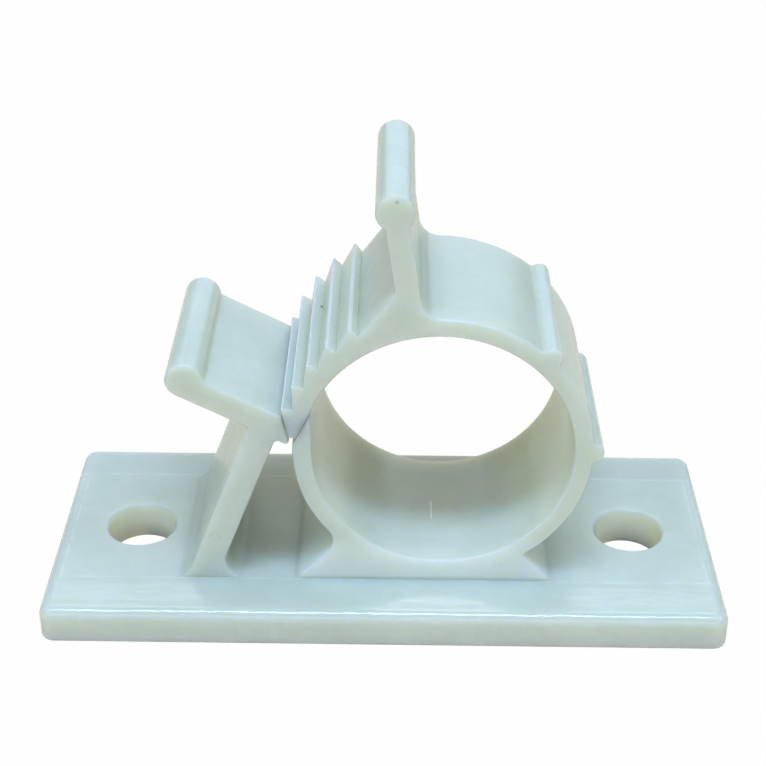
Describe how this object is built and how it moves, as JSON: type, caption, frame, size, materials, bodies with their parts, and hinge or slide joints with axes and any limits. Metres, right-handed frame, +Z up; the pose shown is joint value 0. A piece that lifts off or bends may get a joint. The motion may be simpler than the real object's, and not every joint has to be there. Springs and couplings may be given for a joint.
{
  "type": "pipe clamp",
  "caption": "One-piece moulded nylon pipe clamp: flat screw-down base, round cradle, flexible strap with ratchet teeth and thumb tab, and a releasable latch lever.",
  "frame": {"origin": "middle of the underside of the base", "axes": "+X along the base from the latch towards the plain side of the ring, +Y along the pipe to the back, +Z up from the base"},
  "size_m": [0.0538, 0.0232, 0.0364],
  "materials": {
    "nylon": "semi-gloss, milky and slightly translucent"
  },
  "bodies": {
    "root": {"pipe_clamp": "nylon"}
  },
  "joints": []
}
